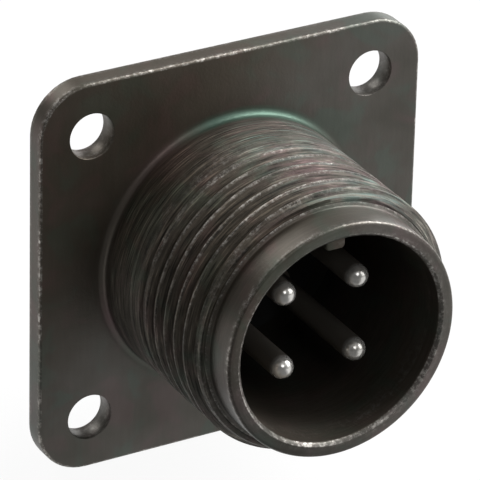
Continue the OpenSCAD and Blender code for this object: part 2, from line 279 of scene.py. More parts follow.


# Silver-plated copper alloy, machined: a soft white plating that scatters part of the light,
# so it is not a full mirror, bright on the rubbed tips and duller along the pin, with a little
# tarnish in patches. Its darker grey along the pin is painted shade for the inside of the bore.
def makeSilver():
    material, tree = newMaterial("silverPlatedCopperAlloy")
    place = millimetrePlace(tree)
    tarnish = addNode(tree, "ShaderNodeTexNoise", {"Vector": place, "Scale": 1.1, "Detail": 4.0})
    ramp = addNode(tree, "ShaderNodeValToRGB", {0: tarnish.outputs[0]})
    setStops(ramp, [(0.35, "#f3f1ec"), (0.6, "#e2dfd9"), (0.75, "#b5afa6")])
    axes = addNode(tree, "ShaderNodeSeparateXYZ", {0: place})
    # 1 on the tip, a third on the solder cup and 0 between
    atTip = addNode(tree, "ShaderNodeMapRange", {0: axes.outputs[1], 1: -13.0, 2: -13.35})
    atCup = addNode(tree, "ShaderNodeMapRange", {0: axes.outputs[1], 1: 0.0, 2: 1.0, 4: 0.35})
    atEnd = addNode(tree, "ShaderNodeMath", {0: atTip, 1: atCup}, operation="MAXIMUM")
    # painted shade: between tip and cup the pin takes the darker grey #8c867d
    tarnishAndShade = addNode(tree, "ShaderNodeMix", {0: atEnd, 6: linearColour("#8c867d"), 7: ramp},
                   data_type="RGBA")
    gloss = addNode(tree, "ShaderNodeMapRange", {0: atEnd, 3: 0.4, 4: 0.22})
    scratches = addNode(tree, "ShaderNodeTexNoise", {"Vector": place, "Scale": 6.0, "Detail": 3.0})
    worn = addNode(tree, "ShaderNodeMapRange", {0: atEnd, 3: 0.08, 4: 0.5})
    bump = addNode(tree, "ShaderNodeBump", {"Strength": worn, "Distance": 0.00002,
                                            "Height": scratches.outputs[0]})
    shader = addNode(tree, "ShaderNodeBsdfPrincipled", {
        "Base Color": tarnishAndShade.outputs[2], "Metallic": 0.7, "Roughness": gloss, "Normal": bump})
    addNode(tree, "ShaderNodeOutputMaterial", {"Surface": shader})
    return material


# Black moulded thermoset: a dull plastic with a faint mottling from the filler.
def makeMoulding(name, dark, light, roughest):
    material, tree = newMaterial(name)
    place = millimetrePlace(tree)
    mottle = addNode(tree, "ShaderNodeTexNoise", {"Vector": place, "Scale": 1.5, "Detail": 5.0})
    ramp = addNode(tree, "ShaderNodeValToRGB", {0: mottle.outputs[0]})
    setStops(ramp, [(0.35, dark), (0.65, light)])
    gloss = addNode(tree, "ShaderNodeMapRange", {0: mottle.outputs[0], 1: 0.3, 2: 0.7,
                                                 3: roughest - 0.15, 4: roughest})
    grain = addNode(tree, "ShaderNodeTexNoise", {"Vector": place, "Scale": 7.0, "Detail": 2.0})
    bump = addNode(tree, "ShaderNodeBump", {"Strength": 0.3, "Distance": 0.00001,
                                            "Height": grain.outputs[0]})
    shader = addNode(tree, "ShaderNodeBsdfPrincipled", {
        "Base Color": ramp, "Roughness": gloss, "Normal": bump})
    addNode(tree, "ShaderNodeOutputMaterial", {"Surface": shader})
    return material


# Hardened spring steel, zinc plated: a light grey metal with faint stains of about 1 mm.
def makeSpringSteel():
    material, tree = newMaterial("zincPlatedSpringSteel")
    place = millimetrePlace(tree)
    stains = addNode(tree, "ShaderNodeTexNoise", {"Vector": place, "Scale": 0.9, "Detail": 4.0})
    ramp = addNode(tree, "ShaderNodeValToRGB", {0: stains.outputs[0]})
    setStops(ramp, [(0.35, "#8d8e90"), (0.65, "#b4b4b3")])
    gloss = addNode(tree, "ShaderNodeMapRange", {0: stains.outputs[0], 1: 0.3, 2: 0.7,
                                                 3: 0.28, 4: 0.42})
    bump = addNode(tree, "ShaderNodeBump", {"Strength": 0.2, "Distance": 0.00001,
                                            "Height": stains.outputs[0]})
    shader = addNode(tree, "ShaderNodeBsdfPrincipled", {
        "Base Color": ramp, "Metallic": 1.0, "Roughness": gloss, "Normal": bump})
    addNode(tree, "ShaderNodeOutputMaterial", {"Surface": shader})
    return material


plating = makePlating()
silver = makeSilver()
# painted shade: the front insert's moulding gets near-black colours, darker than the rear's, for
# the shade deep in the bore
shadedFrontMoulding = makeMoulding("blackMelamineMoulding", "#070708", "#0e0e0f", 0.85)
rearMoulding = makeMoulding("blackPhenolicMoulding", "#141415", "#232325", 0.6)
springSteel = makeSpringSteel()
print("materials: ready")


# Mesh work: loops of vertices in millimetres, joined by strips of faces

def addObject(name, data):
    thing = bpy.data.objects.new(name, data)
    bpy.context.scene.collection.objects.link(thing)
    return thing


def meshFrom(name, bm):
    mesh = bpy.data.meshes.new(name)
    bm.to_mesh(mesh)
    bm.free()
    return mesh


# Points (forward, radius) on a rounded corner.
def arcPoints(forward, radius, size, start, end, steps):
    return [(forward + size * math.cos(math.radians(start + (end - start) * k / steps)),
             radius + size * math.sin(math.radians(start + (end - start) * k / steps)))
            for k in range(steps + 1)]


def addLoop(bm, points, forward, wear=0.0):
    layer = bm.verts.layers.float["wear"]
    loop = []
    for x, z in points:
        vertex = bm.verts.new((x, -forward, z))
        vertex[layer] = wear
        loop.append(vertex)
    return loop


def circlePoints(radius, count, middle=(0.0, 0.0)):
    return [(middle[0] + radius * math.cos(2 * math.pi * k / count),
             middle[1] + radius * math.sin(2 * math.pi * k / count)) for k in range(count)]


def joinLoops(bm, first, second):
    for i in range(len(first)):
        j = (i + 1) % len(first)
        corners = []
        for vertex in (first[i], first[j], second[j], second[i]):
            if vertex not in corners:
                corners.append(vertex)
        if len(corners) > 2:
            bm.faces.new(corners)


# A new loop, joined to the one before it where there is one.
def addNextLoop(bm, loop, points, forward, wear=0.0):
    following = addLoop(bm, points, forward, wear)
    if loop:
        joinLoops(bm, loop, following)
    return following


# A turned surface through points (forward, radius, wear), after an earlier loop.
def turnProfile(bm, profile, count, loop=None):
    for forward, radius, wear in profile:
        loop = addNextLoop(bm, loop, circlePoints(radius, count), forward, wear)
    return loop


def insideLoop(point, loop):
    inside = False
    for i in range(len(loop)):
        a, b = loop[i - 1], loop[i]
        if (a[1] > point[1]) != (b[1] > point[1]):
            if point[0] < (b[0] - a[0]) * (point[1] - a[1]) / (b[1] - a[1]) + a[0]:
                inside = not inside
    return inside


# A flat face across the axis, between an outline and the loops inside it.
def fillFlat(bm, outline, holes, facing):
    vertices, edges, borders = [], [], []
    for loop in [outline] + holes:
        first = len(vertices)
        vertices += loop
        edges += [(first + i, first + (i + 1) % len(loop)) for i in range(len(loop))]
        borders.append([(v.co.x, v.co.z) for v in loop])
    result = delaunay_2d_cdt([Vector((v.co.x, v.co.z)) for v in vertices], edges, [], 0, 1e-6)
    for triangle in result[2]:
        corners = [vertices[result[3][i][0]] for i in triangle]
        middle = (sum(v.co.x for v in corners) / 3, sum(v.co.z for v in corners) / 3)
        if insideLoop(middle, borders[0]) and not any(insideLoop(middle, b) for b in borders[1:]):
            bm.faces.new(corners)
    layer = bm.verts.layers.float["flat"]
    for vertex in vertices:
        vertex[layer] = facing


def evaluatedMesh(thing):
    graph = bpy.context.evaluated_depsgraph_get()
    return bpy.data.meshes.new_from_object(thing.evaluated_get(graph))


# Gives the corners on a flat face the face's own normal, so that it shades flat.
def levelFlats(mesh):
    facing = [0.0] * len(mesh.vertices)
    mesh.attributes["flat"].data.foreach_get("value", facing)
    normals = [Vector(corner.vector) for corner in mesh.corner_normals]
    for i, loop in enumerate(mesh.loops):
        side = facing[loop.vertex_index]
        if side and normals[i].y * side > 0.3:
            normals[i] = Vector((0.0, side, 0.0))
    mesh.normals_split_custom_set(normals)
    mesh.attributes.remove(mesh.attributes["flat"])


# Turns a millimetre bmesh into a smooth-shaded piece that rides on its body.
def finishPiece(name, bm, material, body="root"):
    bmesh.ops.remove_doubles(bm, verts=bm.verts, dist=0.0004)
    bmesh.ops.dissolve_degenerate(bm, edges=bm.edges, dist=0.0004)
    bmesh.ops.recalc_face_normals(bm, faces=bm.faces)
    bmesh.ops.transform(bm, matrix=Matrix.Scale(mm, 4), verts=bm.verts)
    for face in bm.faces:
        face.smooth = True
        face.material_index = 0
    for edge in bm.edges:
        edge.smooth = len(edge.link_faces) == 2 and edge.calc_face_angle(0) < math.radians(50)
    openEdges = sum(1 for edge in bm.edges if len(edge.link_faces) != 2)
    mesh = meshFrom(name, bm)
    mesh.materials.append(material)
    if "flat" in mesh.attributes:
        levelFlats(mesh)
    piece = addObject(name, mesh)
    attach(piece, body)
    print(f"{name}: {len(mesh.polygons)} faces, {openEdges} open edges")
    return piece


# Runs a Geometry Nodes tree on its own and returns the mesh that it makes.
def growNodes(name, tree, values):
    base = addObject(name, bpy.data.meshes.new(name))
    modifier = base.modifiers.new(name, "NODES")
    modifier.node_group = tree
    sockets = {item.name: item.identifier for item in tree.interface.items_tree
               if item.item_type == "SOCKET" and item.in_out == "INPUT"}
    for key, value in values.items():
        modifier[sockets[key]] = value
    mesh = evaluatedMesh(base)
    bpy.data.objects.remove(base)
    return mesh


def addSockets(tree, sockets):
    for name, kind in sockets:
        tree.interface.new_socket(name=name, in_out="INPUT", socket_type="NodeSocket" + kind)
    tree.interface.new_socket(name="Geometry", in_out="OUTPUT", socket_type="NodeSocketGeometry")
    return addNode(tree, "NodeGroupInput").outputs


# Coupling thread: a right-handed helix that runs out at the neck

thread = {
    "segments": 256,      # columns around the barrel
    "rowsPerPitch": 16,
    "pitch": 1.27,
    "depth": 0.76,
    "crestRadius": 9.43,
    "start": 4.69,        # forward end of the plain neck
    "end": 13.68,         # where the nose's shoulder takes over
    "bevel": 0.37,        # length of the cut-down stretch in front of the last full crest
    "bevelDrop": 0.35,    # how far its first part drops
    "dropLength": 0.1,    # length of that part
    "taper": 0.14,        # how far the rest drops
    "runOut": 3.8,        # length over which the grooves get their full depth
    "neckStep": 0.02,     # crests stand above the neck by this much
    "stepLength": 2.0,
    "crest": 14.2485,     # a crest's place at angle 0
    "nick": 0.03,         # deepest nick in a crest
    "seed": 4.0,          # of the nicks
    # painted highlight: the crests are also painted brightest on this side, where the light
    # catches them
    "rubbedAndLitSide": math.radians(115),  # where the crests are rubbed most
}
# its float values are the tree's inputs, under the same names
threadInputs = {name: value for name, value in thread.items() if isinstance(value, float)}


def makeThreadTree():
    tree = bpy.data.node_groups.new("couplingThread", "GeometryNodeTree")
    given = addSockets(tree, [("columns", "Int"), ("rows", "Int"), ("turns", "Float"),
                              ("plating", "Material")]
                       + [(name, "Float") for name in threadInputs])
    grid = addNode(tree, "GeometryNodeMeshGrid", {
        "Size X": 1.0, "Size Y": 1.0, "Vertices X": given["columns"], "Vertices Y": given["rows"]})
    cell = addNode(tree, "ShaderNodeSeparateXYZ", {0: addNode(tree, "GeometryNodeInputPosition")})
    around = addNode(tree, "ShaderNodeMath", {0: cell.outputs[0], 1: 0.5}, operation="ADD")
    down = addNode(tree, "ShaderNodeMath", {0: cell.outputs[1], 1: 0.5}, operation="ADD")

    # rows follow the helix, and are held between the neck and the end wall
    downTurns = addNode(tree, "ShaderNodeMath", {0: down, 1: given["turns"]}, operation="MULTIPLY")
    turns = addNode(tree, "ShaderNodeMath", {0: around, 1: downTurns}, operation="SUBTRACT")
    free = addNode(tree, "ShaderNodeMath", {0: turns, 1: given["pitch"], 2: given["crest"]},
                   operation="MULTIPLY_ADD")
    held = addNode(tree, "ShaderNodeClamp", {0: free, 1: given["start"], 2: given["end"]})

    # distance from the nearest crest, in pitches, makes the flanks
    fromCrest = addNode(tree, "ShaderNodeMath", {0: held, 1: given["crest"]}, operation="SUBTRACT")
    inTurns = addNode(tree, "ShaderNodeMath", {0: fromCrest, 1: given["pitch"]},
                      operation="DIVIDE")
    phase = addNode(tree, "ShaderNodeMath", {0: inTurns, 1: around}, operation="SUBTRACT")
    moved = addNode(tree, "ShaderNodeMath", {0: phase, 1: 0.5}, operation="ADD")
    part = addNode(tree, "ShaderNodeMath", {0: moved}, operation="FRACT")
    centred = addNode(tree, "ShaderNodeMath", {0: part, 1: 0.5}, operation="SUBTRACT")
    away = addNode(tree, "ShaderNodeMath", {0: centred}, operation="ABSOLUTE")
    flank = addNode(tree, "ShaderNodeMapRange", {0: away, 1: 1 / 16, 2: 7 / 16})
    runEnd = addNode(tree, "ShaderNodeMath", {0: given["start"], 1: given["runOut"]},
                     operation="ADD")
    lift = addNode(tree, "ShaderNodeMapRange", {0: held, 1: given["start"], 2: runEnd,
                                                3: given["depth"], 4: 0.0},
                   interpolation_type="SMOOTHSTEP")
    cut = addNode(tree, "ShaderNodeMath", {0: flank, 1: given["depth"]}, operation="MULTIPLY")
    lifted = addNode(tree, "ShaderNodeMath", {0: cut, 1: lift}, operation="SUBTRACT")
    groove = addNode(tree, "ShaderNodeMath", {0: lifted, 1: 0.0}, operation="MAXIMUM")

    # the bevel at the front end and the small step at the neck
    bevelStart = addNode(tree, "ShaderNodeMath", {0: given["end"], 1: given["bevel"]},
                         operation="SUBTRACT")
    dropEnd = addNode(tree, "ShaderNodeMath", {0: bevelStart, 1: given["dropLength"]},
                      operation="ADD")
    drop = addNode(tree, "ShaderNodeMapRange", {0: held, 1: bevelStart, 2: dropEnd,
                                                3: 0.0, 4: given["bevelDrop"]})
    taper = addNode(tree, "ShaderNodeMapRange", {0: held, 1: dropEnd, 2: given["end"],
                                                 3: 0.0, 4: given["taper"]})
    bevelCut = addNode(tree, "ShaderNodeMath", {0: drop, 1: taper}, operation="ADD")
    stepEnd = addNode(tree, "ShaderNodeMath", {0: given["start"], 1: given["stepLength"]},
                      operation="ADD")
    neckCut = addNode(tree, "ShaderNodeMapRange", {0: held, 1: given["start"], 2: stepEnd,
                                                   3: given["neckStep"], 4: 0.0},
                      interpolation_type="SMOOTHSTEP")
    outer = addNode(tree, "ShaderNodeMath", {0: bevelCut, 1: neckCut}, operation="MAXIMUM")
    below = addNode(tree, "ShaderNodeMath", {0: outer, 1: groove}, operation="MAXIMUM")

    # a place on the barrel for the nicks, and the finished radius
    turnAngle = addNode(tree, "ShaderNodeMath", {0: around, 1: 2 * math.pi}, operation="MULTIPLY")
    cosine = addNode(tree, "ShaderNodeMath", {0: turnAngle}, operation="COSINE")
    sine = addNode(tree, "ShaderNodeMath", {0: turnAngle}, operation="SINE")
    back = addNode(tree, "ShaderNodeMath", {0: held, 1: -1.0}, operation="MULTIPLY")
    spot = addNode(tree, "ShaderNodeCombineXYZ", {0: cosine, 1: back, 2: sine})
    spread = addNode(tree, "ShaderNodeVectorMath", {0: spot, 1: (9.0, 1.0, 9.0)},
                     operation="MULTIPLY")
    dents = addNode(tree, "ShaderNodeTexNoise", {"Vector": spread, "W": given["seed"],
                                                 "Scale": 0.9, "Detail": 3.0},
                    noise_dimensions="4D")
    nicks = addNode(tree, "ShaderNodeMapRange", {0: dents.outputs[0], 1: 0.56, 2: 0.72,
                                                 3: 0.0, 4: given["nick"]})
    inGroove = addNode(tree, "ShaderNodeMath", {0: below, 1: outer}, operation="SUBTRACT")
    onCrest = addNode(tree, "ShaderNodeMapRange", {0: inGroove, 1: 0.0, 2: 0.07, 3: 1.0, 4: 0.0})
    nicked = addNode(tree, "ShaderNodeMath", {0: nicks, 1: onCrest, 2: below},
                     operation="MULTIPLY_ADD")
    radius = addNode(tree, "ShaderNodeMath", {0: given["crestRadius"], 1: nicked},
                     operation="SUBTRACT")
    # crests are rubbed bare where the thread is full
    fullness = addNode(tree, "ShaderNodeMapRange", {0: lift, 1: 0.0, 2: given["depth"],
                                                    3: 1.0, 4: 0.1})
    # painted highlight: the crests' rubbing is made strongest at the top left, seen from the
    # front, where the light catches them, and at the left on the cut-down stretch, whose slope
    # catches the light
    offTop = addNode(tree, "ShaderNodeMath", {0: turnAngle, 1: given["rubbedAndLitSide"]},
                     operation="SUBTRACT")
    towardsTop = addNode(tree, "ShaderNodeMath", {0: offTop}, operation="COSINE")
    side = addNode(tree, "ShaderNodeMapRange", {0: towardsTop, 1: 0.6, 2: 0.97, 3: 0.25, 4: 1.1})
    cutDown = addNode(tree, "ShaderNodeMapRange", {0: outer, 1: 0.05, 2: 0.3})
    leftSide = addNode(tree, "ShaderNodeMapRange", {0: cosine, 1: -0.5, 2: -0.9, 3: 0.05, 4: 0.5})
    sideWhole = addNode(tree, "ShaderNodeMix", {0: cutDown, 2: side, 3: leftSide})
    onSide = addNode(tree, "ShaderNodeMath", {0: fullness, 1: sideWhole}, operation="MULTIPLY")
    wear = addNode(tree, "ShaderNodeMath", {0: onCrest, 1: onSide}, operation="MULTIPLY")
    marked = addNode(tree, "GeometryNodeStoreNamedAttribute", {
        "Geometry": grid, "Name": "wear", "Value": wear}, data_type="FLOAT", domain="POINT")

    x = addNode(tree, "ShaderNodeMath", {0: cosine, 1: radius}, operation="MULTIPLY")
    z = addNode(tree, "ShaderNodeMath", {0: sine, 1: radius}, operation="MULTIPLY")
    shaped = addNode(tree, "GeometryNodeSetPosition", {
        "Geometry": marked,
        "Position": addNode(tree, "ShaderNodeCombineXYZ", {0: x, 1: back, 2: z})})
    merged = addNode(tree, "GeometryNodeMergeByDistance", {"Geometry": shaped, "Distance": 0.002})
    real = addNode(tree, "GeometryNodeRealizeInstances", {0: merged})
    coated = addNode(tree, "GeometryNodeSetMaterial", {"Geometry": real,
                                                       "Material": given["plating"]})
    addNode(tree, "NodeGroupOutput", {0: coated})
    return tree


def growThread():
    turns = math.ceil((thread["crest"] + thread["pitch"] - thread["start"]) / thread["pitch"])
    return growNodes("couplingThread", makeThreadTree(), {
        "columns": thread["segments"] + 1, "rows": turns * thread["rowsPerPitch"] + 1,
        "turns": float(turns), "plating": plating, **threadInputs})


# Shell: flange, neck, thread, nose, front bore with its key, and rear barrel in one casting

shell = {
    "flangeWide": 28.15,
    "flangeThick": 1.59,
    "cornerRadius": 3.5,
    "edgeRadius": 0.2,
    "holeSpacing": 20.65,
    "holeRadius": 1.59,
    "holeEdge": 0.06,
    "fillet": 0.45,
    "neckRadius": 9.41,
    "shoulderRadius": 8.6,  # shoulder between the nose and the thread
    "shoulderLength": 0.17,
    "noseRadius": 8.3,
    "noseTaper": 0.05,      # the nose is this much larger in radius at its foot
    "rim": 16.19,
    "rimEdge": 0.2,
    "boreRadius": 7.3,
    "boreBevel": 0.22,
    "webFront": 2.9,
    "webHole": 6.0,
    "ledge": 1.2,
    "seatRadius": 6.8,
    "grooveRadius": 7.15,
    "grooveFront": -3.3,
    "grooveRear": -3.93,
    "rearEnd": -4.4,
    "rearRadius": 7.95,
    "rearBevel": 0.3,
    "rearFillet": 0.12,
    "keyWide": 1.4,
    "keyHigh": 1.3,
    "keyEnd": 14.99,
    "keyRound": 0.3,        # of its long edges
    "keySoften": 0.12,      # of its end
    "ribWide": 1.5,
    "ribHigh": 0.6,
    "ribRound": 0.15,
    "holeSegments": 64,
}


def flangeOutline(inset, cornerSteps=12, sideSteps=26):
    half = shell["flangeWide"] / 2 - shell["cornerRadius"]
    radius = shell["cornerRadius"] - inset
    corners = []
    for k, (x, z) in enumerate([(half, half), (-half, half), (-half, -half), (half, -half)]):
        corners.append([(x + radius * math.cos(math.radians(90 * k + 90 * i / cornerSteps)),
                         z + radius * math.sin(math.radians(90 * k + 90 * i / cornerSteps)))
                        for i in range(cornerSteps + 1)])
    points = []
    for k, corner in enumerate(corners):
        points += corner
        (x0, z0), (x1, z1) = corner[-1], corners[(k + 1) % 4][0]
        points += [(x0 + (x1 - x0) * i / sideSteps, z0 + (z1 - z0) * i / sideSteps)
                   for i in range(1, sideSteps)]
    return points


# A bore's outline with a rib at its top; plain gives the same points on the circle.
def ribbedCircle(radius, wide, high, rounding, plain=False, steps=200):
    root = 0.12  # small fillet where the rib meets the bore
    reach = math.asin((wide / 2 + root) / radius)
    wall = math.sqrt(radius ** 2 - (wide / 2) ** 2)
    rib = []
    for k in range(5):  # fillet at the root
        t = math.radians(90 * k / 4)
        rib.append((wide / 2 + root * (1 - math.sin(t)), wall - root * (1 - math.cos(t))))
    low = radius - high
    for k in range(1, 4):
        rib.append((wide / 2, (wall - root) + (low + rounding - wall + root) * k / 4))
    for k in range(7):
        t = math.radians(90 * k / 6)
        rib.append((wide / 2 - rounding * (1 - math.cos(t)), low + rounding * (1 - math.sin(t))))
    for k in range(1, 4):
        rib.append(((wide / 2 - rounding) * (1 - k / 4), low))
    rib = rib + [(0.0, low)] + [(-x, z) for x, z in reversed(rib)]
    rib[0] = (radius * math.sin(reach), radius * math.cos(reach))
    rib[-1] = (-rib[0][0], rib[0][1])
    if plain:
        count = len(rib)
        rib = [(radius * math.sin(reach * (1 - 2 * k / (count - 1))),
                radius * math.cos(reach * (1 - 2 * k / (count - 1)))) for k in range(count)]
    sweep = 2 * math.pi - 2 * reach
    rest = [(radius * math.cos(math.pi / 2 + reach + sweep * k / steps),
             radius * math.sin(math.pi / 2 + reach + sweep * k / steps)) for k in range(1, steps)]
    return rib + rest


def boundaryLoop(bm, forward):
    loop = [v for v in bm.verts if v.is_boundary and abs(v.co.y + forward) < 1e-4]
    return sorted(loop, key=lambda v: (math.atan2(v.co.z, v.co.x) + 1e-5) % (2 * math.pi))


def makeShell():
    count = thread["segments"]
    threadMesh = growThread()
    bm = bmesh.new()
    bm.from_mesh(threadMesh)
    bpy.data.meshes.remove(threadMesh)
    bm.verts.layers.float.new("flat")
    threadStart = boundaryLoop(bm, thread["start"])
    threadEnd = boundaryLoop(bm, thread["end"])
    print("thread:", len(bm.verts), "vertices, ends", len(threadStart), len(threadEnd))

    # neck and its fillet on to the flange
    front, fillet, neck = shell["flangeThick"], shell["fillet"], shell["neckRadius"]
    filletArc = arcPoints(front + fillet, neck + fillet, fillet, 180, 270, 6)
    profile = [(forward, radius, 0.0) for forward, radius in filletArc]
    profile += [(front + fillet + (thread["start"] - front - fillet) * k / 8, neck, 0.0)
                for k in range(1, 8)]
    filletLoop = addLoop(bm, circlePoints(profile[0][1], count), profile[0][0])
    last = turnProfile(bm, profile[1:], count, filletLoop)
    joinLoops(bm, last, threadStart)

    # end wall of the thread, shoulder and nose, up to the rounded rim
    shoulder, nose, end = shell["shoulderRadius"], shell["noseRadius"], thread["end"]
    for v in threadEnd:  # grooves end just above the shoulder
        radius = math.hypot(v.co.x, v.co.z)
        v.co.x *= max(radius, shoulder + 0.04) / radius
        v.co.z *= max(radius, shoulder + 0.04) / radius
    rim, edge, taper = shell["rim"], shell["rimEdge"], shell["noseTaper"]
    foot = end + shell["shoulderLength"]  # the shoulder falls to the nose through a small cove
    profile = [(end, shoulder, 0.0), (end + 0.03, shoulder, 1.0), (foot - 0.06, nose + 0.14, 0.1),
               (foot - 0.02, nose + 0.06, 0.0), (foot + 0.03, nose + 0.04, 0.0),
               (foot + 0.1, nose + taper, 0.0)]
    noseLength = rim - edge - foot
    profile += [(foot + noseLength * k / 6, nose + taper * (1 - k / 6) ** 2, 0.0)
                for k in range(1, 6)]
    rimArc = arcPoints(rim - edge, nose - edge, edge, 90, 0, 6)
    profile += [(forward, radius, 0.55 if k < 4 else 0.1)
                for k, (forward, radius) in enumerate(rimArc)]
    profile += [(rim, nose - edge - 0.12, 0.0)]
    rimOuter = turnProfile(bm, profile, count, threadEnd)

    # bore: bevel, plain stretch, key and floor around the boss hole
    bore, bevel = shell["boreRadius"], shell["boreBevel"]
    keySize = (shell["keyWide"], shell["keyHigh"], shell["keyRound"])

    def plainBore(extra):
        return ribbedCircle(bore + extra, *keySize, plain=True)

    rimInner = addLoop(bm, plainBore(bevel + 0.06), rim, 0.2)
    fillFlat(bm, rimOuter, [rimInner], -1)
    last = rimInner
    # painted highlight: the bevel's high wear-and-highlight values draw a bright line round the
    # bore's edge, along with real rubbing
    for forward, extra, wear in ((rim - 0.02, bevel, 1.4), (rim - bevel / 2, bevel / 2, 0.8),
                                 (rim - bevel + 0.02, 0.02, 1.4),
                                 (rim - bevel - 0.04, 0.0, 0.1), (rim - 0.5, 0.0, 0.0)):
        last = addNextLoop(bm, last, plainBore(extra), forward, wear)
    keyEnd, soften = shell["keyEnd"], shell["keySoften"]
    last = addNextLoop(bm, last, plainBore(0), keyEnd)
    wide, high, rounding = keySize
    for k in range(5):
        t = math.radians(90 * k / 4)
        inset = soften * (1 - math.sin(t))
        outline = ribbedCircle(bore, wide - 2 * inset, high - inset, rounding - inset)
        last = addNextLoop(bm, last, outline, keyEnd - soften * (1 - math.cos(t)), 0.2)
    for k in range(1, 9):
        outline = ribbedCircle(bore, wide, high if k < 8 else high - 0.05, rounding)
        forward = keyEnd - soften + (shell["webFront"] - keyEnd + soften) * k / 8
        last = addNextLoop(bm, last, outline, forward)
    webHole = shell["webHole"]
    holeFront = addLoop(bm, circlePoints(webHole, count), shell["webFront"])
    fillFlat(bm, last, [holeFront], -1)

    # boss hole, ledge, seat with the turning rib, ring groove
    holeRear = turnProfile(bm, [(shell["ledge"], webHole, 0.0)], count, holeFront)
    seat = shell["seatRadius"]
    ribSize = (shell["ribWide"], shell["ribHigh"], shell["ribRound"])
    last = addLoop(bm, ribbedCircle(seat, *ribSize), shell["ledge"])
    fillFlat(bm, last, [holeRear], 1)
    last = addNextLoop(bm, last, ribbedCircle(seat, *ribSize), shell["grooveFront"])
    for forward, radius, wear in ((shell["grooveFront"], shell["grooveRadius"], 0.0),
                                  (shell["grooveRear"], shell["grooveRadius"], 0.0),
                                  (shell["grooveRear"], seat, 0.2),
                                  (shell["rearEnd"] + 0.1, seat, 0.3),
                                  (shell["rearEnd"], seat + 0.1, 0.3)):
        last = addNextLoop(bm, last, ribbedCircle(radius, *ribSize, plain=True), forward, wear)
    rear, rearBevel, rearFillet = shell["rearRadius"], shell["rearBevel"], shell["rearFillet"]
    rearLoop = addLoop(bm, circlePoints(rear - rearBevel, count), shell["rearEnd"], 0.3)
    fillFlat(bm, rearLoop, [last], 1)
    profile = [(shell["rearEnd"] + 0.04, rear - rearBevel + 0.08, 0.5),
               (shell["rearEnd"] + rearBevel - 0.04, rear - 0.02, 0.5),
               (shell["rearEnd"] + rearBevel + 0.08, rear, 0.2)]
    profile += [(-3.2 + 0.6 * k, rear, 0.0) for k in range(6)]
    profile += [(forward, radius, 0.0) for forward, radius in
                arcPoints(-rearFillet, rear + rearFillet, rearFillet, 270, 360, 4)]
    rearFilletLoop = turnProfile(bm, profile, count, rearLoop)

    # flange: its rounded side faces, then the two flat faces with their holes
    radius, thick = shell["edgeRadius"], shell["flangeThick"]
    sections = []
    # the rounded edges carry real rubbing and a painted edge highlight through their
    # wear-and-highlight values
    for k in range(6):
        t = math.radians(90 * k / 5)
        sections.append((radius * (1 - math.cos(t)), radius * (1 - math.sin(t)),
                         0.0 if k == 0 else 0.9 if k < 5 else 0.5))
    sections += [(thick * part, 0.0, 0.0) for part in (0.3, 0.5, 0.7)]
    sections += [(thick - forward, inset, wear) for forward, inset, wear in reversed(sections[:6])]
    outlines = [addLoop(bm, flangeOutline(inset), forward, wear)
                for forward, inset, wear in sections]
    for first, second in zip(outlines, outlines[1:]):
        joinLoops(bm, first, second)
    frontHoles, rearHoles = [], []
    half, holeRadius, holeEdge = shell["holeSpacing"] / 2, shell["holeRadius"], shell["holeEdge"]
    for middle in ((-half, half), (half, half), (half, -half), (-half, -half)):
        # painted reflection: the hole walls get wear-and-highlight values that lighten them, for
        # the bright surroundings they mirror
        rings = [addLoop(bm, circlePoints(holeRadius + extra, shell["holeSegments"], middle),
                         forward, wear)
                 for forward, extra, wear in ((0.0, holeEdge, 0.0), (holeEdge, 0.0, 0.3),
                                              (thick / 2, 0.0, 0.15), (thick - holeEdge, 0.0, 0.3),
                                              (thick, holeEdge, 0.0))]
        for first, second in zip(rings, rings[1:]):
            joinLoops(bm, first, second)
        rearHoles.append(rings[0])
        frontHoles.append(rings[-1])
    fillFlat(bm, outlines[-1], frontHoles + [filletLoop], -1)
    fillFlat(bm, outlines[0], rearHoles + [rearFilletLoop], 1)

    piece = finishPiece("castShell", bm, plating)
    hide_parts("shell")


makeShell()


# Contacts: one machined contact, placed four times by Geometry Nodes

contact = {
    "segments": 48,
    "pitch": 5.35,
    "pinRadius": 0.795,
    "tip": 13.99,
    "stemRadius": 1.05,
    "stemFront": 3.15,
    "collarRadius": 1.25,
    "collarFront": -0.9,
    "collarRear": -2.3,
    "collarEdge": 0.06,
    "shankRadius": 1.05,
    "cupFront": -3.33,
    "cupRadius": 1.2,
    "cupEdge": 0.08,
    "cupEnd": -7.7,
    "cupBore": 0.85,
    "cupDepth": 3.4,
    "cupCone": 0.25,      # the drill's cone at the bottom of the cup
    "mouth": 2.0,         # length over which one side of the cup is cut away
    "lip": 0.24,          # how far off the middle the cut starts
    "lipEdge": 0.05,
    "breakEdge": 0.03,    # burrs of the cut are broken by this much
}


